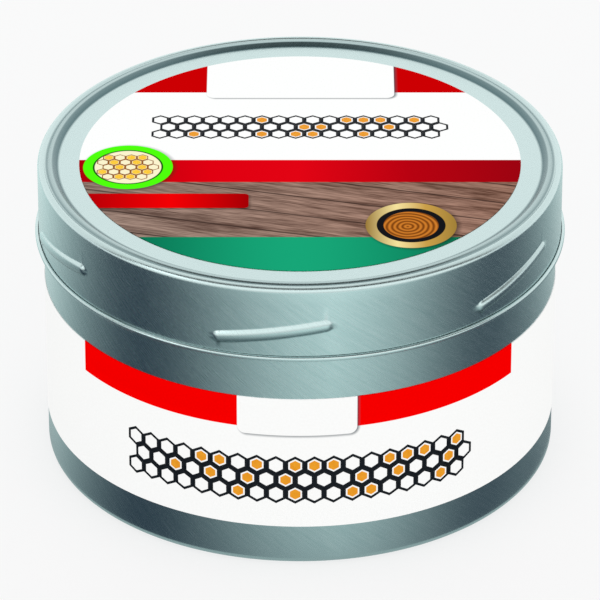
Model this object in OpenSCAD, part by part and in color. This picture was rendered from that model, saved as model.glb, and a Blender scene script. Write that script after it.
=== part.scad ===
// Round wax tin with a twist-off lid.
// A drawn tinplate can with a rolled mouth and six pressed neck lugs, a pressed lid with six slanted
// thread grooves, a sealing ring under the lid's rim, a paste wax fill and two printed paper labels.
// Millimetres, +Z up. The origin is the centre of the base, on the surface that the tin stands on.

/* [Can] */
// Outside diameter of the can below its neck
can_d = 99; // [80:0.5:130]
// Height from the base to the top of the rolled mouth
can_h = 59.85; // [40:0.05:90]
// Sheet thickness of the can and the lid
sheet = 0.3; // [0.2:0.05:0.35]
// Outside radius of the bottom corner
corner_r = 1.8; // [1:0.1:4]
// How far the base panel is raised above the rest ring
base_recess = 0.8; // [0.4:0.1:2]
// Width of the flat rest ring, measured inwards from the bottom corner
rest_ring_w = 3.4; // [2:0.1:8]
// How much smaller in radius the neck is than the can
neck_step = 0.8; // [0.6:0.05:1.2]
// How far the lid's lower edge hangs below the neck step
neck_cover = 1.12; // [0.8:0.02:2]
// Height of the sloping step between the can and its neck
neck_slope_h = 1.0; // [0.5:0.1:2]
// Diameter of the rolled edge around the mouth
mouth_roll_d = 1.3; // [1.1:0.1:1.6]
// Angle that the mouth's edge is rolled through
mouth_roll_turn = 300; // [240:5:320]

/* [Neck lugs and lid grooves] */
// Number of lugs, and of grooves, around the tin
thread_count = 6; // [3:1:8]
// Angle that one lid groove covers, between the centres of its round ends
groove_arc = 23; // [12:1:30]
// Slope of the grooves and lugs around the tin
groove_slope = 10; // [4:0.5:14]
// Outside diameter of the half-round groove section
groove_d = 2; // [1.6:0.1:2.2]
// How far a groove stands out of the lid's skirt
groove_raise = 0.6; // [0.4:0.05:0.7]
// Height of a groove's middle above the lid's lower edge
groove_height = 5.7; // [5:0.1:7]
// Angle from the front to the middle of the first groove
groove_start = 264; // [210:1:330]
// Angle that one neck lug covers
lug_arc = 9; // [5:1:10]
// Diameter of the half-round lug section
lug_d = 2.4; // [2:0.1:2.9]
// Gap between the neck lugs and the inside of the lid's skirt
lug_gap = 0.15; // [0.1:0.05:0.3]
// Angle left between each lug and the high end of its groove when the lid is tight
lug_stop = 2; // [1:0.5:4]

/* [Lid] */
// Height of the lid from its lower edge to the top of its rim
lid_h = 15.4; // [14:0.1:20]
// Gap between the can and the inside of the lid's skirt
lid_gap = 0.7; // [0.6:0.05:1]
// Diameter of the rolled lower edge
skirt_roll_d = 1; // [0.9:0.1:1.2]
// Angle that the lower edge is rolled through
skirt_roll_turn = 280; // [240:5:320]
// Radius of the rim's outer shoulder
shoulder_r = 1.1; // [0.8:0.1:1.6]
// Radius of the rim's inner crest
crest_r = 0.45; // [0.4:0.05:0.6]
// Distance from the skirt in to the middle of the inner crest
crest_inset = 2.7; // [2.7:0.1:4]
// Distance from the skirt in to the foot of the wall around the panel
panel_inset = 3.8; // [3.8:0.1:6]
// Depth of the panel below the rim
panel_depth = 0.75; // [0.5:0.05:1.2]
// Radius of the small groove that runs around the top of the rim
rim_groove_r = 0.5; // [0.3:0.05:0.5]
// Depth of the small groove
rim_groove_depth = 0.28; // [0.1:0.02:0.3]
// Width of the flat land between the small groove and the shoulder
rim_land = 0.1; // [0.05:0.01:0.3]
// Gap between the lid's sealing ring and the mouth of the can
seal_gap = 0.1; // [0.05:0.05:0.3]
// Width of the sealing ring
seal_w = 1.6; // [1:0.1:2]
// Height of the sealing ring
seal_h = 0.6; // [0.4:0.05:1]
// Gap between the sealing ring and the rim above it
seal_headroom = 0.1; // [0.05:0.05:0.2]

/* [Labels] */
// Height of the wrap label above the base
label_z = 8.7; // [4:0.1:12]
// Bare metal between the wrap label and the neck step
label_top_gap = 10.05; // [2:0.05:14]
// Gap between the ends of the wrap label at the back
label_seam = 0.5; // [0.2:0.1:2]
// Thickness of the label paper
paper = 0.12; // [0.08:0.01:0.3]
// Bare metal between the round label and the wall around the panel
disc_margin = 4.25; // [1:0.05:20]

/* [Wax] */
// Room left between the wax and the mouth of the can
headspace = 8.9; // [6:0.1:20]
// How far the middle of the wax dips below its edge
wax_dip = 0.8; // [0.2:0.1:2]
// Gap between the wax and the can
wax_gap = 0.05; // [0.02:0.01:0.2]

/* [Hidden] */
$fn = 120;
arc_step = 10;
wax_rings = 12;
// how far a cut runs past what it cuts
over = 1;

can_r = can_d / 2;
neck_r = can_r - neck_step;
neck_turn = atan2(neck_step, neck_slope_h);
mouth_roll_r = mouth_roll_d / 2;
mouth_roll_x = neck_r - sheet + mouth_roll_r;
mouth_roll_z = can_h - mouth_roll_r;
base_wall_r = can_r - corner_r - rest_ring_w;

skirt_in_r = can_r + lid_gap;
skirt_r = skirt_in_r + sheet;
skirt_roll_r = skirt_roll_d / 2;
shoulder_x = skirt_r - shoulder_r;
crest_x = skirt_r - crest_inset;
panel_foot_r = skirt_r - panel_inset;
groove_lift = rim_groove_r - rim_groove_depth;
rim_groove_x = shoulder_x - rim_land - sqrt(rim_groove_r * rim_groove_r - groove_lift * groove_lift);

// the sealing ring hangs under the rim's small groove, just clear of the rolled mouth
seal_bottom = can_h + seal_gap;
lid_top = seal_bottom + seal_h + seal_headroom + sheet + rim_groove_depth;
lid_bottom = lid_top - lid_h;
skirt_roll_z = lid_bottom + skirt_roll_r;
panel_z = lid_top - panel_depth;
neck_z = lid_bottom + neck_cover;

// the wall around the panel runs from its foot to touch the crest's circle
crest_rise = panel_depth - crest_r;
crest_run = crest_x - panel_foot_r;
crest_reach = sqrt(crest_run * crest_run + crest_rise * crest_rise);
panel_turn = atan2(crest_rise, crest_run) + asin(crest_r / crest_reach);

groove_path_r = skirt_r + groove_raise - groove_d / 2;
groove_z = lid_bottom + groove_height;
lug_path_r = skirt_in_r - lug_gap - lug_d / 2;
// each lug sits towards the high end of its groove when the lid is tight
lug_turn = (groove_arc - lug_arc) / 2 - lug_stop;
lug_z = groove_z + lug_path_r * sin(lug_turn) * tan(groove_slope);
thread_step = 360 / thread_count;

wax_z = can_h - headspace;
wax_r = neck_r - sheet - wax_gap;

label_h = neck_z - label_top_gap - label_z;
disc_r = panel_foot_r - disc_margin;

tin_grey = "#9db4b5";
paper_white = "#f4f4f2";
wax_amber = "#c9a366";
seal_grey = "#8f9491";

// points of a circle's arc about a centre, with a point every arc_step degrees or less
function arc(centre, r, from, to) =
    let (steps = ceil(abs(to - from) / arc_step))
    [for (i = [0 : steps]) centre + r * [cos(from + (to - from) * i / steps), sin(from + (to - from) * i / steps)]];

function reversed(points) = [for (i = [len(points) - 1 : -1 : 0]) points[i]];

// the can's sheet from the middle of its base to the top of its neck, at the depth t into the sheet
function can_face(t) = concat(
    [[0, base_recess + t], [base_wall_r + t, base_recess + t], [base_wall_r + t, t]],
    arc([can_r - corner_r, corner_r], corner_r - t, -90, 0),
    [[can_r - t, neck_z - t * tan(neck_turn / 2)]],
    [[neck_r - t, neck_z + neck_slope_h - t * tan(neck_turn / 2)]]
);

// the can's mouth, rolled outwards from the neck and left open by a narrow slot
function mouth_face(t) = arc([mouth_roll_x, mouth_roll_z], mouth_roll_r - sheet + t, 180, 180 - mouth_roll_turn);

// the lid's sheet from the middle of its panel to its shoulder, at the depth t into the sheet
function lid_face(t) =
    let (groove_edge = asin((groove_lift + t) / (rim_groove_r + t)))
    concat(
        [[0, panel_z - t], [panel_foot_r + t * tan(panel_turn / 2), panel_z - t]],
        arc([crest_x, lid_top - crest_r], crest_r - t, 90 + panel_turn, 90),
        arc([rim_groove_x, lid_top + groove_lift], rim_groove_r + t, 180 + groove_edge, 360 - groove_edge),
        arc([shoulder_x, lid_top - shoulder_r], shoulder_r - t, 90, 0)
    );

// the lid's lower edge, rolled outwards from the skirt and left open by a narrow slot
function skirt_face(t) =
    arc([skirt_in_r + skirt_roll_r, skirt_roll_z], skirt_roll_r - sheet + t, 180, 180 + skirt_roll_turn);

// one slanted half-round ridge with round ends, whose middle is at the angle turn
module slanted_ridge(path_r, z, d, arc, turn) {
    translate([0, 0, z]) rotate([0, 0, turn]) rotate([groove_slope, 0, 0]) {
        rotate([0, 0, -arc / 2]) rotate_extrude(angle = arc) translate([path_r, 0]) circle(d = d);
        for (end = [-arc / 2, arc / 2])
            rotate([0, 0, end]) translate([path_r, 0, 0]) rotate([90, 0, 0]) sphere(d = d);
    }
}

module groove_ridges(d) {
    for (i = [0 : thread_count - 1])
        slanted_ridge(groove_path_r, groove_z, d, groove_arc, groove_start + i * thread_step);
}

module lug_ridges(d) {
    for (i = [0 : thread_count - 1])
        slanted_ridge(lug_path_r, lug_z, d, lug_arc, groove_start + lug_turn + i * thread_step);
}

// the space inside a wall of radius r
module inside(r) {
    cylinder(r = r, h = lid_top);
}

// drawn cup with a raised base panel, a stepped neck, a rolled mouth and pressed lugs
module can_body() {
    outer = concat(can_face(0), mouth_face(0));
    inner = concat(can_face(sheet), mouth_face(sheet));
    color(tin_grey) difference() {
        union() {
            rotate_extrude() polygon(concat(outer, reversed(inner)));
            difference() {
                lug_ridges(lug_d);
                inside(neck_r - sheet);
            }
        }
        lug_ridges(lug_d - 2 * sheet);
    }
}

// paste wax that fills the can up to the headspace, with a gently dished top
module wax_fill() {
    side = can_face(sheet + wax_gap);
    top = [for (i = [0 : wax_rings]) [wax_r * (1 - i / wax_rings), wax_z - wax_dip * (1 - pow(1 - i / wax_rings, 2))]];
    color(wax_amber) rotate_extrude() polygon(concat(side, top));
}

// printed paper wrapped round the can, with its ends facing each other at the back
module body_label() {
    color(paper_white) translate([0, 0, label_z]) difference() {
        cylinder(r = can_r + paper, h = label_h);
        translate([0, 0, -over]) cylinder(r = can_r, h = label_h + 2 * over);
        translate([-label_seam / 2, 0, -over]) cube([label_seam, can_d, label_h + 2 * over]);
    }
}

// lining compound that seals the rim of the lid on the rolled mouth
module seal_ring() {
    color(seal_grey) translate([0, 0, seal_bottom]) difference() {
        cylinder(r = mouth_roll_x + seal_w / 2, h = seal_h);
        translate([0, 0, -over]) cylinder(r = mouth_roll_x - seal_w / 2, h = seal_h + 2 * over);
    }
}

// pressed lid with a sunk panel, a ribbed rim, slanted thread grooves and a rolled lower edge
module lid() {
    outer = concat(lid_face(0), skirt_face(0));
    inner = concat(lid_face(sheet), skirt_face(sheet));
    color(tin_grey) difference() {
        union() {
            rotate_extrude() polygon(concat(outer, reversed(inner)));
            difference() {
                groove_ridges(groove_d);
                inside(skirt_in_r);
            }
        }
        groove_ridges(groove_d - 2 * sheet);
    }
}

// round printed paper label on the lid's panel
module lid_label() {
    color(paper_white) translate([0, 0, panel_z]) cylinder(r = disc_r, h = paper);
}

can_body();
wax_fill();
body_label();
seal_ring();
lid();
lid_label();
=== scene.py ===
import math

import bpy
import numpy as np
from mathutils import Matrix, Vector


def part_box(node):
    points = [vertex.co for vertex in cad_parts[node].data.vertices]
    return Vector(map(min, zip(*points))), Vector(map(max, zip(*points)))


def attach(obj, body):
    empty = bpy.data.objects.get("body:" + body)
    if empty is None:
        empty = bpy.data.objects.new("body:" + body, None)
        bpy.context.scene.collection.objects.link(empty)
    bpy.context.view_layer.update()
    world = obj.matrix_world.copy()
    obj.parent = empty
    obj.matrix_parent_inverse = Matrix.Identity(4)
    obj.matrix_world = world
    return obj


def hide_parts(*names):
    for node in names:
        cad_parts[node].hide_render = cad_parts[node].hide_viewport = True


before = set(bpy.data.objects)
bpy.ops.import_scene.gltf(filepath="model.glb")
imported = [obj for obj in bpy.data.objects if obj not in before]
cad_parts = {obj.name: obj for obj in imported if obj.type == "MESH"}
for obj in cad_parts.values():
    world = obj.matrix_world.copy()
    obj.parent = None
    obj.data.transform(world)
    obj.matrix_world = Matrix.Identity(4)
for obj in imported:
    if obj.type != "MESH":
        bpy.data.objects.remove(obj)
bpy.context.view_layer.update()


# Studio. The tin stands on a pale light table inside a tunnel of lit white cloth, with a soft box above and
# one in front. The camera looks down at 30 degrees from the front, through a long lens. Dark flags lean out
# from the tin's foot, front and back, where only the polished metal sees them, and give it its dark bands.
def linear(code):
    """A colour written as sRGB hex, turned to the linear values that Blender works in."""
    parts = [int(code[i:i + 2], 16) / 255 for i in (1, 3, 5)]
    return [c / 12.92 if c <= 0.04045 else ((c + 0.055) / 1.055) ** 2.4 for c in parts] + [1]


def node(tree, kind, inputs=None, **settings):
    """Adds one node. Inputs maps a socket's name or number to a value, or to what feeds it: an output, or a
    node for its first output."""
    made = tree.nodes.new(kind)
    for name, value in settings.items():
        setattr(made, name, value)
    for key, value in (inputs or {}).items():
        if isinstance(value, bpy.types.Node):
            value = value.outputs[0]
        if isinstance(value, bpy.types.NodeSocket):
            tree.links.new(value, made.inputs[key])
        else:
            made.inputs[key].default_value = value
    return made


def new_material(name):
    """An empty material and its node tree."""
    material = bpy.data.materials.new(name)
    material.use_nodes = True
    material.node_tree.nodes.clear()
    return material, material.node_tree


def new_object(name, vertices, faces):
    """A mesh object with its place in its vertices, given in millimetres."""
    mesh = bpy.data.meshes.new(name)
    mesh.from_pydata([[c / 1000 for c in v] for v in vertices], [], faces)
    made = bpy.data.objects.new(name, mesh)
    bpy.context.scene.collection.objects.link(made)
    return made


view_elevation = math.radians(30.373)
view_distance = 1.13095
view_centre_z = 0.02939
lens = bpy.data.cameras.new("camera")
lens.lens = 348
lens.sensor_width = 36
camera = bpy.data.objects.new("camera", lens)
camera.location = (
    0,
    -view_distance * math.cos(view_elevation),
    view_centre_z + view_distance * math.sin(view_elevation),
)
camera.rotation_euler = (math.pi / 2 - view_elevation, 0, 0)
bpy.context.scene.collection.objects.link(camera)
bpy.context.scene.camera = camera
bpy.context.scene.view_settings.view_transform = "Standard"

world = bpy.data.worlds.new("studio")
world.use_nodes = True
world.node_tree.nodes.clear()
sky = node(world.node_tree, "ShaderNodeBackground", {"Color": linear("#fdfeff"), "Strength": 1.02})
node(world.node_tree, "ShaderNodeOutputWorld", {"Surface": sky})
bpy.context.scene.world = world

# the table lies a hair below the tin, so that their faces never share one plane
table_corners = [(-3000, -3000, -0.05), (3000, -3000, -0.05), (3000, 3000, -0.05), (-3000, 3000, -0.05)]
table = new_object("light_table", table_corners, [(0, 1, 2, 3)])
# opal acrylic, lit from below: even and nearly white, with only a faint shadow under the tin
opal, tree = new_material("opal_acrylic")
bsdf = node(tree, "ShaderNodeBsdfPrincipled", {
    "Base Color": linear("#7c7c7c"),
    "Roughness": 0.6,
    "Specular IOR Level": 0.0,
    "Emission Color": linear("#f4f4f4"),
    "Emission Strength": 0.82,
})
node(tree, "ShaderNodeOutputMaterial", {"Surface": bsdf})
table.data.materials.append(opal)


def soft_box(name, position, target, width, height, power):
    """A rectangular area light that faces a point, in metres. The metal sees the tunnel, not the lamps."""
    data = bpy.data.lights.new(name, "AREA")
    data.shape = "RECTANGLE"
    data.size = width
    data.size_y = height
    data.energy = power
    made = bpy.data.objects.new(name, data)
    made.location = position
    away = made.location - type(made.location)(target)
    made.rotation_euler = away.to_track_quat("Z", "Y").to_euler()
    made.visible_glossy = False
    bpy.context.scene.collection.objects.link(made)


def reflector(name, vertices, faces, brightness, dark, light, strength=1.4):
    """A card or cloth that only glossy surfaces see. Brightness is 0 to 1, dark to light, at each vertex."""
    card = new_object(name, vertices, faces)
    card.data.attributes.new("brightness", "FLOAT", "POINT")
    card.data.attributes["brightness"].data.foreach_set("value", np.array(brightness, np.float32))
    cloth, tree = new_material("lit_cloth_" + name)
    level = node(tree, "ShaderNodeAttribute", attribute_name="brightness")
    shade = node(tree, "ShaderNodeMix", {
        0: level.outputs["Fac"],
        6: linear(dark),
        7: linear(light),
    }, data_type="RGBA")
    glow = node(tree, "ShaderNodeEmission", {"Color": shade.outputs[2], "Strength": strength})
    node(tree, "ShaderNodeOutputMaterial", {"Surface": glow})
    card.data.materials.append(cloth)
    card.data.shade_smooth()
    for ray in ("camera", "diffuse", "shadow", "transmission", "volume_scatter"):
        setattr(card, "visible_" + ray, False)


# a card's rows: distance from the tin's foot, height above the table, and brightness there
card_rows = ((0, 0.5, 0.4), (12, 1.5, 0.5), (68, 14, 0.74), (100, 26, 0.95), (130, 45, 1.0))
foot_reach = 50.2
card_light = "#d9e8e5"


def row_faces(columns, rows):
    """The four-sided faces between neighbouring columns of a grid of vertices, stored column by column."""
    faces = []
    for i in range(columns - 1):
        for j in range(rows - 1):
            a = rows * i + j
            b = a + rows
            faces.append((a, b, b + 1, a + 1))
    return faces


def flag(name, first, last, band, dark, outer_shade, turn=0):
    """A curved card that leans away from the tin from one angle to another, with a dark band given by its
    start, middle and end. Each upright line of the tin's wall mirrors one straight line of the card. The
    part outside the band's middle is shaded near the table. Turn moves the card round the tin."""
    vertices, brightness = [], []
    start, middle, end = band
    steps = 32
    for i in range(steps + 1):
        angle = first + (last - first) * i / steps
        t = (angle - middle) / (end - middle if angle > middle else middle - start)
        light = 1 - math.cos(math.pi / 2 * t) ** 1.5 if abs(t) < 1 else 1
        outer = outer_shade * min(1, abs(t) * 2) if abs(angle) > abs(middle) else 0
        a = math.radians(angle)
        foot = np.array([math.sin(a + turn), -math.cos(a + turn), 0]) * foot_reach
        away = np.array([math.sin(2 * a + turn), -math.cos(2 * a + turn), 0])
        for reach, height, level in card_rows:
            vertices.append(foot + away * reach + np.array([0, 0, height]))
            brightness.append((1 - outer * max(0, 1 - reach / 90)) * level * light)
    reflector(name, vertices, row_faces(steps + 1, len(card_rows)), brightness, dark, card_light)


soft_box("top_box", (0, 0.55, 0.75), (0, 0, 0.05), 0.7, 0.12, 0.2)
soft_box("front_box", (0.15, -0.9, 0.7), (0, 0, 0.04), 0.5, 0.2, 0.66)
flag("left_flag", -90, 6, (-77, -38, 6), "#303c47", 0.1)
flag("right_flag", 8, 90, (8, 46, 84), "#444e56", 0.7)
flag("back_left_flag", -46, 4, (-46, -27, 4), "#3a454f", 0.1, math.pi)
flag("back_right_flag", 6, 46, (6, 28, 46), "#444e56", 0.1, math.pi)

# a light tunnel of white cloth arches over the table from front to back, with a dark strip overhead: angles
# in degrees from the front edge, and brightness there
tunnel_r = 600
tunnel_strips = (
    (0, 0.6), (14, 0.75), (26, 1.0), (56, 1.0), (64, 0.07),
    (84, 0.07), (96, 0.75), (140, 0.86), (154, 0.9), (180, 0.9),
)
vertices, brightness = [], []
for angle in range(0, 181, 3):
    a = math.radians(angle)
    for x in (-2000, 2000):
        vertices.append((x, -tunnel_r * math.cos(a), tunnel_r * math.sin(a) + 0.5))
        brightness.append(np.interp(angle, *zip(*tunnel_strips)))
reflector("light_tunnel", vertices, row_faces(61, 2), brightness, "#0b1416", "#f7f6f4")

# the table darkens towards the foot of the tin, as it stands in its own shade
vertices, brightness = [], []
for i in range(91):
    a = math.radians(4 * i)
    for reach, height, level in card_rows:
        r = foot_reach - 1.6 + reach
        vertices.append((r * math.cos(a), r * math.sin(a), 0.1))
        brightness.append(level)
reflector("foot_shade", vertices, row_faces(91, len(card_rows)), brightness, "#29343f", card_light)

# a small bright card high on the left puts a spark on the pressed ridges
spark_centre, spark_half = np.array([-330, -190, 320]), 85
vertices = []
for u, v in ((-1, -1), (1, -1), (1, 1), (-1, 1)):
    vertices.append(spark_centre + np.array([-u * 0.5, u * 0.866, v]) * spark_half)
reflector("spark_card", vertices, [(0, 1, 2, 3)], [1, 1, 1, 1], "#000000", "#ffffff", 2.2)


# Can: a cup drawn from 0.3 mm tinplate, with a raised base panel, a stepped neck and six pressed lugs that
# run in the lid's grooves. Its mouth is rolled outwards. The bare outside is brushed on a slant and then
# lacquered clear, so it shines softly in upright bands.
sheet = 0.3
paper = 0.12
label_low, label_high = (list(c * 1000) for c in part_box("body_label"))
lid_low, lid_high = (list(c * 1000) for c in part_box("lid"))
can_r = label_high[0] - paper
can_top = [c * 1000 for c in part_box("can_body")][1][2]
base_round = 1.8
base_lift = 0.8
neck_step, neck_cover = 0.8, 1.12
neck_r = can_r - neck_step
neck_z = lid_low[2] + neck_cover
groove_slope = math.radians(10)
groove_half_arc = math.radians(11.5)
lug_half_arc = math.radians(4.5)
groove_above_edge = 5.7
groove_z = lid_low[2] + groove_above_edge
groove_turns = [math.radians(264 + 60 * i) for i in range(6)]


def arc(x, z, r, start, end, steps):
    """Points of a circle's arc about (x, z), angles in degrees."""
    angles = [math.radians(start + (end - start) * i / steps) for i in range(steps + 1)]
    return [(x + r * math.cos(a), z + r * math.sin(a)) for a in angles]


def rounded(points, radius, steps=4):
    """The same polyline with each inner corner turned into an arc of that radius."""
    out = [points[0]]
    for a, b, c in zip(points, points[1:], points[2:]):
        a, b, c = np.array(a, float), np.array(b, float), np.array(c, float)
        into, away = (a - b) / np.linalg.norm(a - b), (c - b) / np.linalg.norm(c - b)
        half = math.acos(max(-1, min(1, float(into @ away)))) / 2
        reach = radius / math.tan(half)
        start, end = b + into * reach, b + away * reach
        for i in range(steps + 1):
            t = i / steps
            out.append(tuple((1 - t) ** 2 * start + 2 * t * (1 - t) * b + t * t * end))
    return out + [points[-1]]


def spread(start, end, step):
    """Points of a straight line from start to end, no further apart than step."""
    count = max(1, math.ceil(math.dist(start, end) / step))
    return [tuple(np.array(start) + (np.array(end) - np.array(start)) * i / count) for i in range(count + 1)]


def columns(count, ridge_r, half_arc, end_reach, step):
    """Angles around the tin: even ones, and close ones where the round ends of the ridges need them."""
    angles = [2 * math.pi * i / count for i in range(count)]
    for turn in groove_turns:
        for way in (-1, 1):
            edge = turn + way * half_arc
            for i in range(int(1.6 * end_reach / step)):
                angles.append((edge + way * (i * step - 0.5 * end_reach) / ridge_r) % (2 * math.pi))
    angles.sort()
    kept = [angles[0]]
    for a in angles[1:]:
        if (a - kept[-1]) * ridge_r > 0.6 * step:
            kept.append(a)
    return np.array(kept)


def ridge_height(theta, z, path_r, mid_z, shift, half_arc, width, height, power=1.5):
    """How far a sheet is pressed outwards at each point by six slanted ridges with round ends."""
    out = np.zeros(np.broadcast(theta, z).shape)
    run, rise = path_r * half_arc, path_r * math.sin(half_arc) * math.sin(groove_slope)
    for turn in groove_turns:
        u = path_r * ((theta - turn - shift + math.pi) % (2 * math.pi) - math.pi)
        v = z - mid_z
        along = np.clip((u * run + v * rise) / (run * run + rise * rise), -1, 1)
        d = np.hypot(u - along * run, v - along * rise) / width
        out = np.maximum(out, height * np.clip(1 - d * d, 0, 1) ** power)
    return out


def turned_sheet(name, path, thickness, angles, press, thin_out=None, painted_shade=((0, 0), (60, 0))):
    """A sheet turned about the axis along a path of (radius, height), from the axis to its cut edge, in mm.
    The outside keeps every point of the path, and the inside leaves out those that thin_out picks. The last
    argument gives painted shade: how dark the outside is painted at some radii. Some shade is also painted
    under each ridge, where the metal would mirror dark surroundings."""
    mid = np.array(path, float)
    step = np.gradient(mid, axis=0)
    normal = np.stack([-step[:, 1], step[:, 0]], 1)
    normal /= np.linalg.norm(normal, axis=1)[:, None]
    normal[0] = (0, 1) if normal[1][1] > 0 else (0, -1)
    inside = [i for i in range(len(mid)) if thin_out is None or not thin_out(i, mid[i])][::-1]
    rows = np.concatenate([mid + normal * thickness / 2, (mid - normal * thickness / 2)[inside]])
    n, k = len(rows), len(angles)
    r = rows[:, 0][:, None] + press(angles[None, :], rows[:, 1][:, None]) * (rows[:, 0][:, None] > 1)
    z = np.repeat(rows[:, 1][:, None], k, 1)
    x, y = r * np.cos(angles)[None, :], r * np.sin(angles)[None, :]
    between = np.stack([x, y, z], 2)[1:-1].reshape(-1, 3).tolist()
    vertices = [(0, 0, rows[0][1])] + between + [(0, 0, rows[-1][1])]
    last = len(vertices) - 1
    faces, maps = [], []
    turn = np.append(angles, angles[0] + 2 * math.pi)
    for i in range(n - 1):
        flat = abs(rows[i + 1][1] - rows[i][1]) < 0.7 * abs(rows[i + 1][0] - rows[i][0])
        for j in range(k):
            e = (j + 1) % k
            low = (0, 0) if i == 0 else (1 + (i - 1) * k + j, 1 + (i - 1) * k + e)
            high = (last, last) if i == n - 2 else (1 + i * k + j, 1 + i * k + e)
            ring = [(low[0], i, j), (low[1], i, j + 1), (high[1], i + 1, j + 1), (high[0], i + 1, j)]
            if i == 0:
                ring = ring[1:]
            if i == n - 2:
                ring = ring[:3]
            faces.append([v for v, _, _ in ring[::-1]])
            for _, a, b in ring[::-1]:
                if flat:
                    maps.append((rows[a][0] * math.cos(turn[b]), rows[a][0] * math.sin(turn[b])))
                else:
                    maps.append((turn[b] * 50, rows[a][1]))
    made = new_object(name, vertices, faces)
    unrolled = made.data.uv_layers.new(name="unrolled_mm")
    unrolled.data.foreach_set("uv", np.array(maps, np.float32).ravel())
    bend = np.zeros(len(mid))
    heading = np.unwrap(np.arctan2(step[:, 1], step[:, 0]))
    bend[1:-1] = np.abs(heading[2:] - heading[:-2])
    level_parts = np.abs(step[:, 1]) < 0.3 * np.abs(step[:, 0])
    brushed = np.clip(1 - bend / math.radians(12), 0, 1) * np.where(level_parts, 0.15, 1)
    brushed = np.concatenate([brushed, brushed[inside]])
    pressed = press(angles[None, :], rows[:, 1][:, None]) * (rows[:, 0][:, None] > 1)
    amount = brushed[:, None] * np.clip(1 - pressed / 0.3, 0.2, 1)
    made.data.attributes.new("brushed", "FLOAT", "POINT")
    amount = [1.0] + amount[1:-1].ravel().tolist() + [1.0]
    made.data.attributes["brushed"].data.foreach_set("value", np.array(amount, np.float32))
    # painted shade: darker on the top rows at the given radii and on the lower face of each ridge, standing
    # in for the dark surroundings that the metal mirrors there
    dark = np.interp(mid[:, 0], *zip(*painted_shade)) * (mid[:, 1] > mid[:, 1].max() - 1.2)
    dark = np.repeat(np.concatenate([dark, np.zeros(len(inside))])[:, None], k, 1)
    heights = rows[:, 1][:, None]
    under = press(angles[None, :], heights + 0.15) - press(angles[None, :], heights - 0.15)
    dark = np.maximum(dark, 0.6 * np.clip(under / 0.15, 0, 1)).ravel()[k - 1:len(vertices) + k - 1]
    made.data.attributes.new("painted_shade", "FLOAT", "POINT")
    made.data.attributes["painted_shade"].data.foreach_set("value", dark.astype(np.float32))
    made.data.shade_smooth()
    made.data.set_sharp_from_angle(angle=math.radians(40))
    made.data.update()
    return made


half = sheet / 2
base_wall_r = can_r - base_round - 3.4 + half
panel, foot = base_lift + half, can_r - base_round
can_path = rounded([(0, panel), (base_wall_r, panel), (base_wall_r, half), (foot, half)], 0.3)[:-1]
can_path[1:1] = [(15, panel), (30, panel), (42, panel)]
can_path += arc(foot, base_round, base_round - half, -90, 0, 8)
can_path += spread((can_r - half, 4), (can_r - half, neck_z - 0.6), 15)
can_path += rounded([
    (can_r - half, neck_z - 0.5),
    (can_r - half, neck_z),
    (neck_r - half, neck_z + 1),
    (neck_r - half, neck_z + 1.5),
], 0.5)[1:]
lug_path_r = 48.85
lug_shift = (groove_half_arc - lug_half_arc) - math.radians(2)
lug_z = groove_z + lug_path_r * math.sin(lug_shift) * math.tan(groove_slope)
can_path += spread((neck_r - half, lug_z - 2.1), (neck_r - half, lug_z + 2.1), 0.2)
can_path += [(neck_r - half, can_top - 2.5)]
mouth_round = 0.65
can_path += arc(neck_r - sheet + mouth_round, can_top - mouth_round, mouth_round - half, 180, -120, 24)
# the path runs outwards under the base, so its left side is the inside of the can
can = turned_sheet(
    "can",
    can_path,
    sheet,
    columns(360, 49, lug_half_arc, 1.2, 0.25),
    lambda theta, z: np.where(
        (z > neck_z + 1.2) & (z < can_top - 1.5),
        ridge_height(theta, z, lug_path_r, lug_z, lug_shift, lug_half_arc, 1.45, 1.32),
        0,
    ),
)

# Tinplate: steel strip tinned bright, brushed on a slant and lacquered clear. The strokes scatter the light
# across themselves, so the sheen is broad, and they show as fine light and dark hairs. The strokes are a
# tenth of a millimetre apart, drawn here at about 0.4 mm, as close as the picture can show them.
tinplate, tree = new_material("brushed_tinplate")
unrolled = node(tree, "ShaderNodeUVMap", uv_map="unrolled_mm")
strokes = node(tree, "ShaderNodeMapping", {
    "Vector": unrolled,
    "Rotation": (0, 0, math.radians(-42)),
    "Scale": (5, 0.22, 1),
}, vector_type="TEXTURE")
hairs = node(tree, "ShaderNodeTexNoise", {
    "Vector": strokes,
    "Scale": 1.0,
    "Detail": 3.0,
    "Roughness": 0.6,
}, noise_dimensions="2D")
long_strokes = node(tree, "ShaderNodeMapping", {
    "Vector": unrolled,
    "Rotation": (0, 0, math.radians(-38)),
    "Scale": (14, 0.7, 1),
}, vector_type="TEXTURE")
swathes = node(tree, "ShaderNodeTexNoise", {
    "Vector": long_strokes,
    "Scale": 1.0,
    "Detail": 2.0,
}, noise_dimensions="2D")
blend = node(tree, "ShaderNodeMath", {0: hairs, 1: swathes}, operation="ADD")
tone = node(tree, "ShaderNodeMapRange", {
    "Value": blend,
    "From Min": 0.65,
    "From Max": 1.35,
    "To Min": 0.0,
    "To Max": 1.0,
})
brushed = node(tree, "ShaderNodeAttribute", attribute_name="brushed").outputs["Fac"]
worked = node(tree, "ShaderNodeMix", {0: brushed, 2: 0.6, 3: tone})
bare_metal = node(tree, "ShaderNodeMix", {
    0: worked,
    6: linear("#b9d0d1"),
    7: linear("#c7dadb"),
}, data_type="RGBA")
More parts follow.
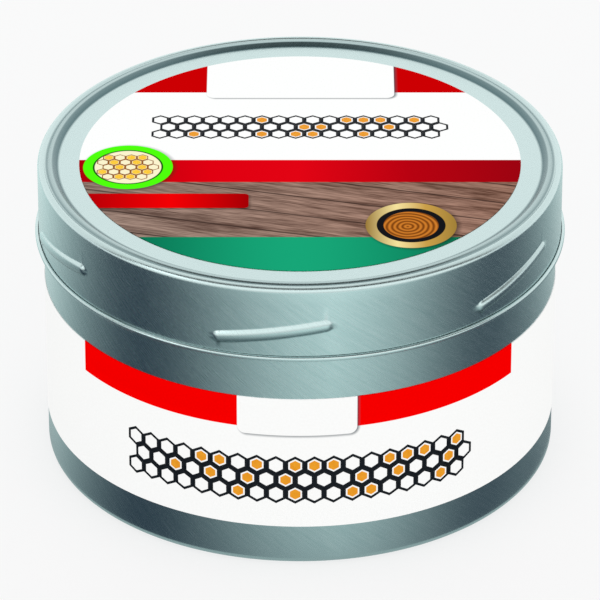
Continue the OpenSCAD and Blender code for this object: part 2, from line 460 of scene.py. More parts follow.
# painted shade: the metal's colour is mixed towards a dark teal where the sheet carries painted shade, in
# the rim's hollows and under the ridges
painted_shade = node(tree, "ShaderNodeAttribute", attribute_name="painted_shade")
metal_colour = node(tree, "ShaderNodeMix", {
    0: painted_shade.outputs["Fac"],
    6: bare_metal.outputs[2],
    7: linear("#48666c"),
}, data_type="RGBA")
polish = node(tree, "ShaderNodeMapRange", {
    "Value": hairs,
    "From Min": 0.3,
    "From Max": 0.7,
    "To Min": 0.22,
    "To Max": 0.3,
})
depth = node(tree, "ShaderNodeMath", {0: hairs, 1: brushed}, operation="MULTIPLY")
relief = node(tree, "ShaderNodeBump", {"Height": depth, "Strength": 0.06, "Distance": 0.00002})
bsdf = node(tree, "ShaderNodeBsdfPrincipled", {
    "Base Color": metal_colour.outputs[2],
    "Metallic": 1.0,
    "Roughness": polish,
    "Normal": relief,
})
node(tree, "ShaderNodeOutputMaterial", {"Surface": bsdf})
can.data.materials.append(tinplate)
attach(can, "can")
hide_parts("can_body")


# Wax: soft amber paste of beeswax and solvent, poured warm into the can. It shrinks as it sets, so its top
# is gently dished and climbs a little at the wall, with a slow swirl left by the filling nozzle.
wax_r = neck_r - sheet - 0.05
wax_top = [c * 1000 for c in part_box("wax_fill")][1][2]
gap = sheet + 0.05
wax_base, wax_step_r = base_lift + gap, base_wall_r + 0.25
wax_path = rounded([(0, wax_base), (wax_step_r, wax_base), (wax_step_r, gap), (foot, gap)], 0.3)[:-1]
wax_path += arc(foot, base_round, base_round - gap, -90, 0, 6)
wax_path += [(can_r - gap, neck_z - 0.4), (wax_r, neck_z + 0.75), (wax_r, wax_top - 0.35)]
wax_path += arc(wax_r - 0.3, wax_top - 0.35, 0.3, 0, 80, 3)[1:]
rings = 90
for i in range(1, rings):
    t = 1 - i / rings
    wax_path.append((wax_r * t, wax_top - 0.15 - 0.6 * (1 - t * t)))
wax_path.append((0, wax_top - 0.76))
turns = 240
vertices, faces = [], []
for r, z in wax_path[1:-1]:
    for j in range(turns):
        a = 2 * math.pi * j / turns
        lift = 0.0
        if z > neck_z + 1.5 and r < wax_r - 0.6:
            fade = min(1, (wax_r - 0.6 - r) / 4) * min(1, r / 3)
            lift = 0.045 * fade * math.sin(2 * math.pi * r / 7.5 - a)
        vertices.append((r * math.cos(a), r * math.sin(a), z + lift))
vertices.append((0, 0, wax_path[0][1]))
vertices.append((0, 0, wax_path[-1][1]))
loops = len(wax_path) - 2
for i in range(loops - 1):
    for j in range(turns):
        e = (j + 1) % turns
        faces.append((i * turns + j, i * turns + e, (i + 1) * turns + e, (i + 1) * turns + j))
for j in range(turns):
    e = (j + 1) % turns
    faces.append((len(vertices) - 2, e, j))
    faces.append((len(vertices) - 1, (loops - 1) * turns + j, (loops - 1) * turns + e))
wax = new_object("wax", vertices, faces)
wax.data.shade_smooth()
# Beeswax paste: cloudy and slightly translucent, so its edges glow, with a satin skin
paste, tree = new_material("beeswax_paste")
place = node(tree, "ShaderNodeTexCoord")
cloud = node(tree, "ShaderNodeTexNoise", {"Vector": place.outputs["Object"], "Scale": 90.0, "Detail": 4.0})
amber = node(tree, "ShaderNodeMix", {
    0: cloud,
    6: linear("#cf9740"),
    7: linear("#ecc277"),
}, data_type="RGBA")
grain = node(tree, "ShaderNodeTexNoise", {"Vector": place.outputs["Object"], "Scale": 900.0, "Detail": 3.0})
skin = node(tree, "ShaderNodeBump", {"Height": grain, "Strength": 0.25, "Distance": 0.0001})
satin = node(tree, "ShaderNodeMapRange", {"Value": cloud, "To Min": 0.32, "To Max": 0.5})
bsdf = node(tree, "ShaderNodeBsdfPrincipled", {
    "Base Color": amber.outputs[2],
    "Roughness": satin,
    "IOR": 1.44,
    "Subsurface Weight": 0.25,
    "Subsurface Radius": (0.004, 0.0022, 0.001),
    "Subsurface Scale": 0.5,
    "Normal": skin,
})
node(tree, "ShaderNodeOutputMaterial", {"Surface": bsdf})
wax.data.materials.append(paste)
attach(wax, "can")
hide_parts("wax_fill")


# Wrap label: a strip of white coated paper glued round the can below its neck, with its ends meeting at the
# back. Printed in two inks, a red bar along its top edge and a white tab that breaks the bar at the front.
label_z = label_low[2]
label_h = label_high[2] - label_low[2]
seam_half = 0.25 / can_r
steps = 420
front = -math.pi / 2
section = [(0, 0), (0, label_h), (paper, label_h), (paper, 0)]
vertices, faces, maps = [], [], []
for i in range(steps + 1):
    a = front + (2 * math.pi - 2 * seam_half) * (i / steps - 0.5)
    for out, up in section:
        vertices.append(((can_r + out) * math.cos(a), (can_r + out) * math.sin(a), label_z + up))
for i in range(steps):
    for j in range(4):
        e = (j + 1) % 4
        faces.append((4 * i + j, 4 * i + e, 4 * i + 4 + e, 4 * i + 4 + j))
        for column, corner in ((i, j), (i, e), (i + 1, e), (i + 1, j)):
            a = (2 * math.pi - 2 * seam_half) * (column / steps - 0.5)
            maps.append((a * (can_r + paper), section[corner][1]))
faces.append((3, 2, 1, 0))
faces.append((4 * steps, 4 * steps + 1, 4 * steps + 2, 4 * steps + 3))
maps += [(0, 0)] * 8
wrap = new_object("wrap_label_paper", vertices, faces)
wrap.data.uv_layers.new(name="print_mm").data.foreach_set("uv", np.array(maps, np.float32).ravel())
wrap.data.shade_smooth()
wrap.data.set_sharp_from_angle(angle=math.radians(40))

# one printed patch: a rectangle with round corners, given by its centre, half size and corner in mm
patch = bpy.data.node_groups.new("printed_patch", "ShaderNodeTree")
for name, kind in (
    ("Place", "Vector"), ("Centre", "Vector"), ("Half size", "Vector"),
    ("Corner", "Float"), ("Softness", "Float"),
):
    patch.interface.new_socket(name, in_out="INPUT", socket_type="NodeSocket" + kind)
patch.interface.new_socket("Ink", in_out="OUTPUT", socket_type="NodeSocketFloat")
entry = node(patch, "NodeGroupInput")
offset = node(patch, "ShaderNodeVectorMath", {0: entry, 1: entry.outputs[1]}, operation="SUBTRACT")
mirrored = node(patch, "ShaderNodeVectorMath", {0: offset}, operation="ABSOLUTE")
straight = node(patch, "ShaderNodeVectorMath", {
    0: entry.outputs[2],
    1: entry.outputs[3],
}, operation="SUBTRACT")
beyond = node(patch, "ShaderNodeVectorMath", {0: mirrored, 1: straight}, operation="SUBTRACT")
outside = node(patch, "ShaderNodeVectorMath", {0: beyond, 1: (0, 0, 0)}, operation="MAXIMUM")
level = node(patch, "ShaderNodeVectorMath", {0: outside, 1: (1, 1, 0)}, operation="MULTIPLY")
distance = node(patch, "ShaderNodeVectorMath", {0: level}, operation="LENGTH")
depth = node(patch, "ShaderNodeMath", {
    0: entry.outputs[3],
    1: distance.outputs["Value"],
}, operation="SUBTRACT")
ramp = node(patch, "ShaderNodeMath", {0: depth, 1: entry.outputs[4]}, operation="DIVIDE")
centred = node(patch, "ShaderNodeMath", {0: ramp, 1: 0.5}, operation="ADD", use_clamp=True)
node(patch, "NodeGroupOutput", {0: centred})


def printed(tree, place, ground, patches):
    """Prints patches of ink on a ground colour, one over another. Each is its centre, half size, corner,
    softness, ink and strength."""
    colour = ground
    for centre, half_size, corner, softness, ink, strength in patches:
        mask = node(tree, "ShaderNodeGroup", {
            "Place": place,
            "Centre": (*centre, 0),
            "Half size": (*half_size, 0),
            "Corner": corner,
            "Softness": softness,
        }, node_tree=patch)
        amount = node(tree, "ShaderNodeMath", {0: mask, 1: strength}, operation="MULTIPLY")
        colour = node(tree, "ShaderNodeMix", {0: amount, 6: colour, 7: ink}, data_type="RGBA").outputs[2]
    return colour


# Coated label paper: white, smooth and calendered, with a faint cloudiness of fibres under a satin varnish
wrap_paper, tree = new_material("coated_paper_wrap_print")
print_place = node(tree, "ShaderNodeUVMap", uv_map="print_mm")
fibres = node(tree, "ShaderNodeTexNoise", {
    "Vector": print_place,
    "Scale": 2.2,
    "Detail": 4.0,
}, noise_dimensions="2D")
white = node(tree, "ShaderNodeMix", {
    0: fibres,
    6: linear("#f6f6f4"),
    7: linear("#fcfcfb"),
}, data_type="RGBA").outputs[2]
red = node(tree, "ShaderNodeMix", {
    0: fibres,
    6: linear("#ef0000"),
    7: linear("#fb0000"),
}, data_type="RGBA").outputs[2]
tab_centre, tab_half = -0.55, 11.4
colour = printed(tree, print_place, white, [
    ((-0.6, label_h), (47.5, 6.5), 0.05, 0.08, red, 1.0),
    ((tab_centre + 0.3, label_h), (tab_half + 0.05, 8.25), 1.6, 0.7, linear("#33434d"), 0.85),
    ((tab_centre, label_h), (tab_half, 8), 1.5, 0.08, white, 1.0),
])
tooth = node(tree, "ShaderNodeTexNoise", {
    "Vector": print_place,
    "Scale": 6.0,
    "Detail": 3.0,
}, noise_dimensions="2D")
surface = node(tree, "ShaderNodeBump", {"Height": tooth, "Strength": 0.06, "Distance": 0.00003})
bsdf = node(tree, "ShaderNodeBsdfPrincipled", {
    "Base Color": colour,
    "Roughness": 0.5,
    "IOR": 1.5,
    "Specular IOR Level": 0.0,
    "Normal": surface,
})
node(tree, "ShaderNodeOutputMaterial", {"Surface": bsdf})
wrap.data.materials.append(wrap_paper)
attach(wrap, "can")
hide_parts("body_label")


# Honeycomb print: a band of six-sided cells in dark ink, some filled with amber, in the middle of the wrap
# label and of the lid's label. It is raised a hundredth of a millimetre or so, as thick screen ink is.
honeycomb = bpy.data.node_groups.new("honeycomb_print", "GeometryNodeTree")
sockets = {}
for name, kind in (
    ("Geometry", "Geometry"), ("Columns", "Int"), ("Rows", "Int"), ("Cell radius", "Float"),
    ("Line width", "Float"), ("Ink thickness", "Float"), ("Reach", "Float"), ("Filled share", "Float"),
    ("Seed", "Int"), ("Wrap radius", "Float"), ("Wrapped", "Bool"), ("Line ink", "Material"),
    ("Fill ink", "Material"),
):
    sockets[name] = honeycomb.interface.new_socket(name, in_out="INPUT", socket_type="NodeSocket" + kind)
honeycomb.interface.new_socket("Geometry", in_out="OUTPUT", socket_type="NodeSocketGeometry")
given = node(honeycomb, "NodeGroupInput").outputs
# one point for each cell, in rows, with every other row moved along by half a cell
count = node(honeycomb, "ShaderNodeMath", {0: given["Columns"], 1: given["Rows"]}, operation="MULTIPLY")
line = node(honeycomb, "GeometryNodeMeshLine", {"Count": count, "Offset": (0, 0, 0)})
index = node(honeycomb, "GeometryNodeInputIndex")
row_share = node(honeycomb, "ShaderNodeMath", {0: index, 1: given["Columns"]}, operation="DIVIDE")
row = node(honeycomb, "ShaderNodeMath", {0: row_share}, operation="FLOOR")
column = node(honeycomb, "ShaderNodeMath", {0: index, 1: given["Columns"]}, operation="FLOORED_MODULO")
odd = node(honeycomb, "ShaderNodeMath", {0: row, 1: 2}, operation="FLOORED_MODULO")
stagger = node(honeycomb, "ShaderNodeMath", {0: odd, 1: 0.5, 2: column}, operation="MULTIPLY_ADD")
last_column = node(honeycomb, "ShaderNodeMath", {0: given["Columns"], 1: 0.5}, operation="SUBTRACT")
middle_column = node(honeycomb, "ShaderNodeMath", {
    0: last_column,
    1: -0.5,
    2: stagger,
}, operation="MULTIPLY_ADD")
last_row = node(honeycomb, "ShaderNodeMath", {0: given["Rows"], 1: 1}, operation="SUBTRACT")
middle_row = node(honeycomb, "ShaderNodeMath", {0: last_row, 1: -0.5, 2: row}, operation="MULTIPLY_ADD")
pitch_x = node(honeycomb, "ShaderNodeMath", {
    0: given["Cell radius"],
    1: math.sqrt(3),
}, operation="MULTIPLY")
pitch_y = node(honeycomb, "ShaderNodeMath", {0: given["Cell radius"], 1: 1.5}, operation="MULTIPLY")
cell_x = node(honeycomb, "ShaderNodeMath", {0: middle_column, 1: pitch_x}, operation="MULTIPLY")
cell_y = node(honeycomb, "ShaderNodeMath", {0: middle_row, 1: pitch_y}, operation="MULTIPLY")
cell = node(honeycomb, "ShaderNodeCombineXYZ", {0: cell_x, 1: cell_y})
placed = node(honeycomb, "GeometryNodeSetPosition", {"Geometry": line, "Position": cell})
from_middle = node(honeycomb, "ShaderNodeVectorMath", {0: cell}, operation="LENGTH")
too_far = node(honeycomb, "FunctionNodeCompare", {
    0: from_middle.outputs["Value"],
    1: given["Reach"],
}, operation="GREATER_THAN")
cells = node(honeycomb, "GeometryNodeDeleteGeometry", {
    "Geometry": placed,
    "Selection": too_far,
}, domain="POINT")
# a six-sided outline at each point, and a filled cell at some of them
side_radius = node(honeycomb, "ShaderNodeMath", {
    0: given["Line width"],
    1: -0.5,
    2: given["Cell radius"],
}, operation="MULTIPLY_ADD")
outline = node(honeycomb, "GeometryNodeCurvePrimitiveCircle", {
    "Resolution": 6,
    "Radius": side_radius,
}, mode="RADIUS")
stroke = node(honeycomb, "GeometryNodeCurvePrimitiveQuadrilateral", {
    "Width": given["Line width"],
    "Height": given["Ink thickness"],
})
ring_mesh = node(honeycomb, "GeometryNodeCurveToMesh", {0: outline, 1: stroke})
upright = (0, 0, math.radians(30))
ring_cells = node(honeycomb, "GeometryNodeInstanceOnPoints", {
    "Points": cells,
    "Instance": ring_mesh,
    "Rotation": upright,
})
fill_radius = node(honeycomb, "ShaderNodeMath", {
    0: given["Line width"],
    1: -1.6,
    2: given["Cell radius"],
}, operation="MULTIPLY_ADD")
fill_mesh = node(honeycomb, "GeometryNodeMeshCylinder", {
    "Vertices": 6,
    "Radius": fill_radius,
    "Depth": given["Ink thickness"],
})
chosen = node(honeycomb, "FunctionNodeRandomValue", {
    "Probability": given["Filled share"],
    "Seed": given["Seed"],
}, data_type="BOOLEAN")
fill_cells = node(honeycomb, "GeometryNodeInstanceOnPoints", {
    "Points": cells,
    "Instance": fill_mesh,
    "Rotation": upright,
    "Selection": chosen.outputs[3],
})
# the way that a flat print is bent round the can: across becomes an angle, and thickness adds to the radius
flat_place = node(honeycomb, "GeometryNodeInputPosition")
flat_axis = node(honeycomb, "ShaderNodeSeparateXYZ", {0: flat_place})
angle = node(honeycomb, "ShaderNodeMath", {0: flat_axis, 1: given["Wrap radius"]}, operation="DIVIDE")
reach_out = node(honeycomb, "ShaderNodeMath", {
    0: flat_axis.outputs[2],
    1: given["Wrap radius"],
}, operation="ADD")
sine = node(honeycomb, "ShaderNodeMath", {0: angle}, operation="SINE")
cosine = node(honeycomb, "ShaderNodeMath", {0: angle}, operation="COSINE")
round_x = node(honeycomb, "ShaderNodeMath", {0: sine, 1: reach_out}, operation="MULTIPLY")
toward_front = node(honeycomb, "ShaderNodeMath", {0: cosine, 1: -1}, operation="MULTIPLY")
round_y = node(honeycomb, "ShaderNodeMath", {0: toward_front, 1: reach_out}, operation="MULTIPLY")
round_place = node(honeycomb, "ShaderNodeCombineXYZ", {0: round_x, 1: round_y, 2: flat_axis.outputs[1]})
where = node(honeycomb, "GeometryNodeSwitch", {
    "Switch": given["Wrapped"],
    "False": flat_place,
    "True": round_place,
}, input_type="VECTOR")
# the cells are made real, inked, joined and bent
real_rings = node(honeycomb, "GeometryNodeRealizeInstances", {0: ring_cells})
real_fills = node(honeycomb, "GeometryNodeRealizeInstances", {0: fill_cells})
inked_rings = node(honeycomb, "GeometryNodeSetMaterial", {
    "Geometry": real_rings,
    "Material": given["Line ink"],
})
inked_fills = node(honeycomb, "GeometryNodeSetMaterial", {
    "Geometry": real_fills,
    "Material": given["Fill ink"],
})
both = node(honeycomb, "GeometryNodeJoinGeometry")
honeycomb.links.new(inked_rings.outputs[0], both.inputs[0])
honeycomb.links.new(inked_fills.outputs[0], both.inputs[0])
bent = node(honeycomb, "GeometryNodeSetPosition", {"Geometry": both, "Position": where})
node(honeycomb, "NodeGroupOutput", {0: bent})


def ink_material(name, code, second):
    """Screen ink: a flat, slightly mottled film of pigment in a satin binder."""
    ink, tree = new_material(name)
    place = node(tree, "ShaderNodeTexCoord")
    mottle = node(tree, "ShaderNodeTexNoise", {
        "Vector": place.outputs["Object"],
        "Scale": 1200.0,
        "Detail": 2.0,
    })
    tint = node(tree, "ShaderNodeMix", {0: mottle, 6: linear(code), 7: linear(second)}, data_type="RGBA")
    film = node(tree, "ShaderNodeBump", {"Height": mottle, "Strength": 0.1, "Distance": 0.00002})
    bsdf = node(tree, "ShaderNodeBsdfPrincipled", {
        "Base Color": tint.outputs[2],
        "Roughness": 0.45,
        "IOR": 1.5,
        "Specular IOR Level": 0.05,
        "Normal": film,
    })
    node(tree, "ShaderNodeOutputMaterial", {"Surface": bsdf})
    return ink


def honeycomb_print(name, place, settings, body):
    """Runs the honeycomb tree with these settings and keeps the result as a plain mesh at a place in mm."""
    maker = bpy.data.objects.new(name + "_maker", bpy.data.meshes.new(name + "_maker"))
    bpy.context.scene.collection.objects.link(maker)
    modifier = maker.modifiers.new("honeycomb", "NODES")
    modifier.node_group = honeycomb
    for key, value in settings.items():
        modifier[sockets[key].identifier] = value
    shown = maker.evaluated_get(bpy.context.evaluated_depsgraph_get())
    mesh = bpy.data.meshes.new_from_object(shown)
    bpy.data.objects.remove(maker)
    mesh.name = name
    mesh.transform(type(camera.matrix_world).Translation([c / 1000 for c in place]))
    printed_cells = bpy.data.objects.new(name, mesh)
    bpy.context.scene.collection.objects.link(printed_cells)
    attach(printed_cells, body)
    return printed_cells


black_ink = ink_material("black_screen_ink", "#11151a", "#1d2228")
amber_ink = ink_material("amber_screen_ink", "#e08a12", "#f0a62c")
honeycomb_print("wrap_honeycomb", (0, 0, label_z + 10.4), {
    "Columns": 19,
    "Rows": 3,
    "Cell radius": 0.0021,
    "Line width": 0.0006,
    "Ink thickness": 0.00003,
    "Reach": 1.0,
    "Filled share": 0.3,
    "Seed": 4,
    "Wrap radius": (can_r + paper) / 1000,
    "Wrapped": True,
    "Line ink": black_ink,
    "Fill ink": amber_ink,
}, "can")


# Sealing ring: grey lining compound, run wet into the lid's rim and cured there. It is a soft flat bead that
# meets the rolled mouth of the can.
seal_low, seal_high = (list(c * 1000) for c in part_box("seal_ring"))
seal_out = seal_high[0]
seal_in = seal_out - 1.6
corner = 0.18
loop = arc(seal_out - corner, seal_high[2] - corner, corner, 0, 90, 4)
loop += arc(seal_in + corner, seal_high[2] - corner, corner, 90, 180, 4)
loop += arc(seal_in + corner, seal_low[2] + corner, corner, 180, 270, 4)
loop += arc(seal_out - corner, seal_low[2] + corner, corner, 270, 360, 4)
turns = 240
vertices = []
for j in range(turns):
    a = 2 * math.pi * j / turns
    vertices += [(r * math.cos(a), r * math.sin(a), z) for r, z in loop]
faces = []
for j in range(turns):
    for i in range(len(loop)):
        a, b = j * len(loop), ((j + 1) % turns) * len(loop)
        e = (i + 1) % len(loop)
        faces.append((a + i, b + i, b + e, a + e))
seal = new_object("seal", vertices, faces)
seal.data.shade_smooth()
# Lining compound: a rubbery grey latex, matt, with the fine skin that it cures with
compound, tree = new_material("cured_latex_compound")
place = node(tree, "ShaderNodeTexCoord")
skin_noise = node(tree, "ShaderNodeTexNoise", {
    "Vector": place.outputs["Object"],
    "Scale": 1500.0,
    "Detail": 3.0,
})
grey = node(tree, "ShaderNodeMix", {
    0: skin_noise,
    6: linear("#7f8583"),
    7: linear("#a0a5a2"),
}, data_type="RGBA")
skin = node(tree, "ShaderNodeBump", {"Height": skin_noise, "Strength": 0.3, "Distance": 0.00005})
bsdf = node(tree, "ShaderNodeBsdfPrincipled", {
    "Base Color": grey.outputs[2],
    "Roughness": 0.6,
    "IOR": 1.52,
    "Normal": skin,
})
node(tree, "ShaderNodeOutputMaterial", {"Surface": bsdf})
seal.data.materials.append(compound)
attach(seal, "seal")
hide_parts("seal_ring")


# Lid: pressed from the same brushed tinplate. Its panel is sunk below a rim with a crest, a small groove and
# a round shoulder, its skirt carries six slanted grooves, and its lower edge is rolled outwards.
lid_top, lid_bottom = lid_high[2], lid_low[2]
curl_round, shoulder_round, crest_round = 0.5, 1.1, 0.45
rim_groove_round, rim_groove_deep = 0.5, 0.28
panel_sink = 0.75
skirt_in = lid_high[0] - 2 * curl_round
skirt_r = skirt_in + sheet
foot_r, crest_x, shoulder_x = skirt_r - 3.8, skirt_r - 2.7, skirt_r - shoulder_round
panel_z = lid_top - panel_sink
groove_lift = rim_groove_round - rim_groove_deep
rim_groove_x = shoulder_x - 0.1 - math.sqrt(rim_groove_round ** 2 - groove_lift ** 2)
rise, run = panel_sink - crest_round, crest_x - foot_r
panel_turn = math.degrees(math.atan2(rise, run) + math.asin(crest_round / math.hypot(rise, run)))
edge = math.degrees(math.asin((groove_lift + half) / (rim_groove_round + half)))
foot_shift = half * math.tan(math.radians(panel_turn / 2))
crest_arc = arc(crest_x, lid_top - crest_round, crest_round - half, 90 + panel_turn, 90, 6)
lid_path = rounded([(0, panel_z - half), (foot_r + foot_shift, panel_z - half), crest_arc[0]], 0.35, 5)[:-1]
lid_path[1:1] = [(r, panel_z - half) for r in (15, 30, 42, 44.5, foot_r - 0.45)]
lid_path += crest_arc
lid_path += arc(rim_groove_x, lid_top + groove_lift, rim_groove_round + half, 180 + edge, 360 - edge, 8)
lid_path += arc(shoulder_x, lid_top - shoulder_round, shoulder_round - half, 90, 0, 9)
lid_path += [(skirt_r - half, 57.5)]
lid_path += spread((skirt_r - half, groove_z + 3), (skirt_r - half, groove_z - 3), 0.15)
lid_path += [(skirt_r - half, lid_bottom + 1.6)]
lid_path += arc(skirt_in + curl_round, lid_bottom + curl_round, curl_round - half, 180, 460, 18)
lid_shell = turned_sheet(
    "lid_shell",
    lid_path,
    sheet,
    columns(400, 50.5, groove_half_arc, 1.15, 0.17),
    lambda theta, z: np.where(
        (z > lid_bottom + 1.5) & (z < lid_top - 2),
        ridge_height(theta, z, 50.1, groove_z, 0, groove_half_arc, 1.2, 0.6, 0.8),
        0,
    ),
    thin_out=lambda i, p: abs(p[1] - groove_z) < 2.9 and p[0] > 50 and i % 2 == 1,
    # painted shade: dark at the foot of the panel wall, faint on the crest, and dark beside the rim groove
    painted_shade=(
        (foot_r - 0.4, 0), (foot_r, 0.9), (foot_r + 0.85, 0.95),
        (crest_x + 0.05, 0.12), (crest_x + 0.35, 0.15),
        (rim_groove_x - 0.3, 0.7), (rim_groove_x, 0.5), (rim_groove_x + 0.25, 0), (60, 0),
    ),
)
lid_shell.data.materials.append(tinplate)
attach(lid_shell, "lid")
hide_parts("lid")


# Lid label: a round of the same coated paper on the sunk panel, printed in colour: a red head with a white
# tab, a red band, a wood-grain field, a green foot, a red flash and two round seals.
disc_low, disc_high = (list(c * 1000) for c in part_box("lid_label"))
disc_r = disc_high[0]
disc_z = disc_low[2]
turns = 360
disc_top = disc_z + paper
section = [
    (disc_r - 0.02, disc_z),
    (disc_r, disc_z + 0.03),
    (disc_r, disc_top - 0.03),
    (disc_r - 0.03, disc_top),
]
vertices = []
for r, z in section:
    for j in range(turns):
        a = 2 * math.pi * j / turns
        vertices.append((r * math.cos(a), r * math.sin(a), z))
faces = []
for i in range(3):
    for j in range(turns):
        e = (j + 1) % turns
        faces.append((i * turns + j, i * turns + e, (i + 1) * turns + e, (i + 1) * turns + j))
faces.append(tuple(range(turns))[::-1])
faces.append(tuple(3 * turns + j for j in range(turns)))
disc = new_object("round_label_paper", vertices, faces)
disc.data.shade_smooth()
disc.data.set_sharp_from_angle(angle=math.radians(40))

disc_paper, tree = new_material("coated_paper_round_print")
place = node(tree, "ShaderNodeTexCoord")
millimetres = node(tree, "ShaderNodeVectorMath", {
    0: place.outputs["Object"],
    1: (1000, 1000, 0),
}, operation="MULTIPLY")
fibres = node(tree, "ShaderNodeTexNoise", {
    "Vector": millimetres,
    "Scale": 2.2,
    "Detail": 4.0,
}, noise_dimensions="2D")
white = node(tree, "ShaderNodeMix", {
    0: fibres,
    6: linear("#f6f6f4"),
    7: linear("#fcfcfb"),
}, data_type="RGBA").outputs[2]
axis = node(tree, "ShaderNodeSeparateXYZ", {0: millimetres})
across = node(tree, "ShaderNodeMath", {0: axis}, operation="ABSOLUTE")
toward_edge = node(tree, "ShaderNodeMapRange", {
    "Value": across,
    "From Min": 0.0,
    "From Max": 40.0,
}, interpolation_type="SMOOTHSTEP")
from_left = node(tree, "ShaderNodeMapRange", {"Value": axis, "From Min": -43.0, "From Max": 43.0})
band_ramp = node(tree, "ShaderNodeValToRGB", {0: from_left})
band_ramp.color_ramp.elements[0].color = linear("#a8000c")
band_ramp.color_ramp.elements[1].color = linear("#980410")
for at, code in ((0.3, "#dc0010"), (0.5, "#dd0413"), (0.75, "#b30210")):
    band_ramp.color_ramp.elements.new(at).color = linear(code)
tag_place = node(tree, "ShaderNodeMapRange", {"Value": axis, "From Min": -40.0, "From Max": -9.0})
tag_ramp = node(tree, "ShaderNodeValToRGB", {0: tag_place})
tag_ramp.color_ramp.elements[0].color = linear("#b40006")
tag_ramp.color_ramp.elements[1].color = linear("#9b0005")
tag_ramp.color_ramp.elements.new(0.5).color = linear("#ee0004")
foot_green = node(tree, "ShaderNodeMix", {
    0: toward_edge,
    6: linear("#16a274"),
    7: linear("#05684a"),
}, data_type="RGBA").outputs[2]
# printed wood grain: long wavering lines about 1.5 mm apart, with fine pores between them
board = node(tree, "ShaderNodeMapping", {
    "Vector": millimetres,
    "Rotation": (0, 0, math.radians(-14)),
    "Scale": (26, 2.2, 1),
}, vector_type="TEXTURE")
figure = node(tree, "ShaderNodeTexNoise", {
    "Vector": board,
    "Scale": 1.0,
    "Detail": 3.0,
    "Distortion": 0.8,
}, noise_dimensions="2D")
pore_place = node(tree, "ShaderNodeMapping", {
    "Vector": millimetres,
    "Rotation": (0, 0, math.radians(-14)),
    "Scale": (5, 0.25, 1),
}, vector_type="TEXTURE")
pores = node(tree, "ShaderNodeTexNoise", {
    "Vector": pore_place,
    "Scale": 1.0,
    "Detail": 2.0,
}, noise_dimensions="2D")
grain_mix = node(tree, "ShaderNodeMath", {0: figure, 1: pores}, operation="ADD")
grain_tone = node(tree, "ShaderNodeMapRange", {"Value": grain_mix, "From Min": 0.7, "From Max": 1.3})
pale_oak = node(tree, "ShaderNodeMix", {
    0: grain_tone,
    6: linear("#5f4a42"),
    7: linear("#a89083"),
}, data_type="RGBA").outputs[2]
red_oak = node(tree, "ShaderNodeMix", {
    0: grain_tone,
    6: linear("#553629"),
    7: linear("#ab8270"),
}, data_type="RGBA").outputs[2]
timber = node(tree, "ShaderNodeMix", {0: from_left, 6: pale_oak, 7: red_oak}, data_type="RGBA").outputs[2]
# joints between the printed boards, 7 mm apart
board_axis = node(tree, "ShaderNodeSeparateXYZ", {0: node(tree, "ShaderNodeMapping", {
    "Vector": millimetres,
    "Rotation": (0, 0, math.radians(-14)),
}, vector_type="TEXTURE")})
to_joint = node(tree, "ShaderNodeMath", {0: board_axis.outputs[1], 1: 3.5}, operation="PINGPONG")
joint = node(tree, "ShaderNodeMapRange", {
    "Value": to_joint,
    "From Min": 0.12,
    "From Max": 0.3,
    "To Min": 0.75,
    "To Max": 0.0,
})
wood = node(tree, "ShaderNodeMix", {0: joint, 6: timber, 7: linear("#2c1e1a")}, data_type="RGBA").outputs[2]
# growth rings on the gold seal, about 1 mm apart
ring_place = node(tree, "ShaderNodeMapping", {
    "Vector": millimetres,
    "Location": (20.3, -25.9, 0),
}, vector_type="TEXTURE")
rings = node(tree, "ShaderNodeTexWave", {
    "Vector": ring_place,
    "Scale": 0.32,
    "Distortion": 1.6,
    "Detail": 2.0,
    "Detail Scale": 0.6,
}, wave_type="RINGS", rings_direction="Z")
end_grain = node(tree, "ShaderNodeMix", {
    0: rings.outputs[1],
    6: linear("#7a3f10"),
    7: linear("#cf7c2a"),
}, data_type="RGBA").outputs[2]
sheen = node(tree, "ShaderNodeMapRange", {"Value": axis, "From Min": 12.0, "From Max": 30.0})
gold = node(tree, "ShaderNodeValToRGB", {0: sheen})
gold.color_ramp.elements[0].color = linear("#8d6a24")
gold.color_ramp.elements[1].color = linear("#9a7a34")
gold.color_ramp.elements.new(0.35).color = linear("#f1dd98")
gold.color_ramp.elements.new(0.65).color = linear("#c79c48")
green_badge, gold_badge = (-33, -2.83), (20.95, -25.37)
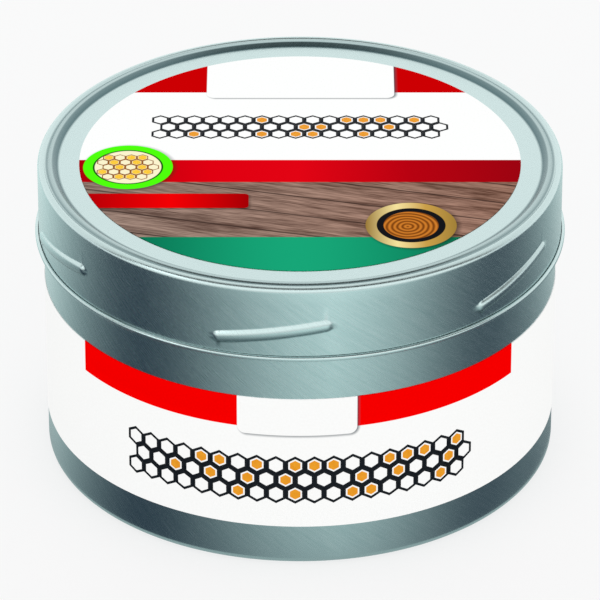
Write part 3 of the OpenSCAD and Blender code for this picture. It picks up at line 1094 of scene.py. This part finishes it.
colour = printed(tree, millimetres, white, [
    ((0, 43.3), (60, 16), 0.05, 0.08, linear("#c80003"), 1.0),
    ((0.42, 43), (18.45, 18.2), 1.7, 0.8, linear("#33434d"), 0.9),
    ((0.1, 43), (18.4, 17.95), 1.6, 0.08, white, 1.0),
    ((0, -26.6), (60, 26.6), 0.05, 0.08, band_ramp, 1.0),
    ((0, -19.3), (60, 10.6), 0.05, 0.08, wood, 1.0),
    ((0, -45), (60, 15.15), 0.05, 0.08, foot_green, 1.0),
    ((-39.5, -16.3), (30, 3.0), 1.1, 0.8, linear("#1c1210"), 0.5),
    ((-39.75, -16), (30, 2.77), 0.9, 0.08, tag_ramp, 1.0),
    ((-32.7, -3.1), (8.8, 8.8), 8.8, 1.2, linear("#12200c"), 0.6),
    (green_badge, (8.6, 8.6), 8.6, 0.08, linear("#4dfa0c"), 1.0),
    (green_badge, (6.75, 6.75), 6.75, 0.08, linear("#175c12"), 1.0),
    (green_badge, (6.4, 6.4), 6.4, 0.08, linear("#f7efc8"), 1.0),
    ((21.3, -25.7), (8.8, 8.8), 8.8, 1.2, linear("#120d08"), 0.6),
    (gold_badge, (8.6, 8.6), 8.6, 0.08, gold, 1.0),
    (gold_badge, (6.5, 6.5), 6.5, 0.08, linear("#15161a"), 1.0),
    (gold_badge, (5.2, 5.2), 5.2, 0.08, end_grain, 1.0),
])
tooth = node(tree, "ShaderNodeTexNoise", {
    "Vector": millimetres,
    "Scale": 6.0,
    "Detail": 3.0,
}, noise_dimensions="2D")
surface = node(tree, "ShaderNodeBump", {"Height": tooth, "Strength": 0.06, "Distance": 0.00003})
bsdf = node(tree, "ShaderNodeBsdfPrincipled", {
    "Base Color": colour,
    "Roughness": 0.5,
    "IOR": 1.5,
    "Specular IOR Level": 0.0,
    "Normal": surface,
})
node(tree, "ShaderNodeOutputMaterial", {"Surface": bsdf})
disc.data.materials.append(disc_paper)
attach(disc, "lid")
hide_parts("lid_label")

honeycomb_print("lid_honeycomb", (0, 13.2, disc_top), {
    "Columns": 17,
    "Rows": 3,
    "Cell radius": 0.0019,
    "Line width": 0.0005,
    "Ink thickness": 0.00003,
    "Reach": 1.0,
    "Filled share": 0.3,
    "Seed": 9,
    "Wrap radius": 1.0,
    "Wrapped": False,
    "Line ink": black_ink,
    "Fill ink": amber_ink,
}, "lid")
brown_ink = ink_material("brown_screen_ink", "#8a4d08", "#a5610f")
honey_ink = ink_material("honey_screen_ink", "#f5b912", "#fbd23e")
honeycomb_print("badge_honeycomb", (*green_badge, disc_top), {
    "Columns": 7,
    "Rows": 7,
    "Cell radius": 0.00125,
    "Line width": 0.00022,
    "Ink thickness": 0.00003,
    "Reach": 0.0056,
    "Filled share": 0.7,
    "Seed": 3,
    "Wrap radius": 1.0,
    "Wrapped": False,
    "Line ink": brown_ink,
    "Fill ink": honey_ink,
}, "lid")
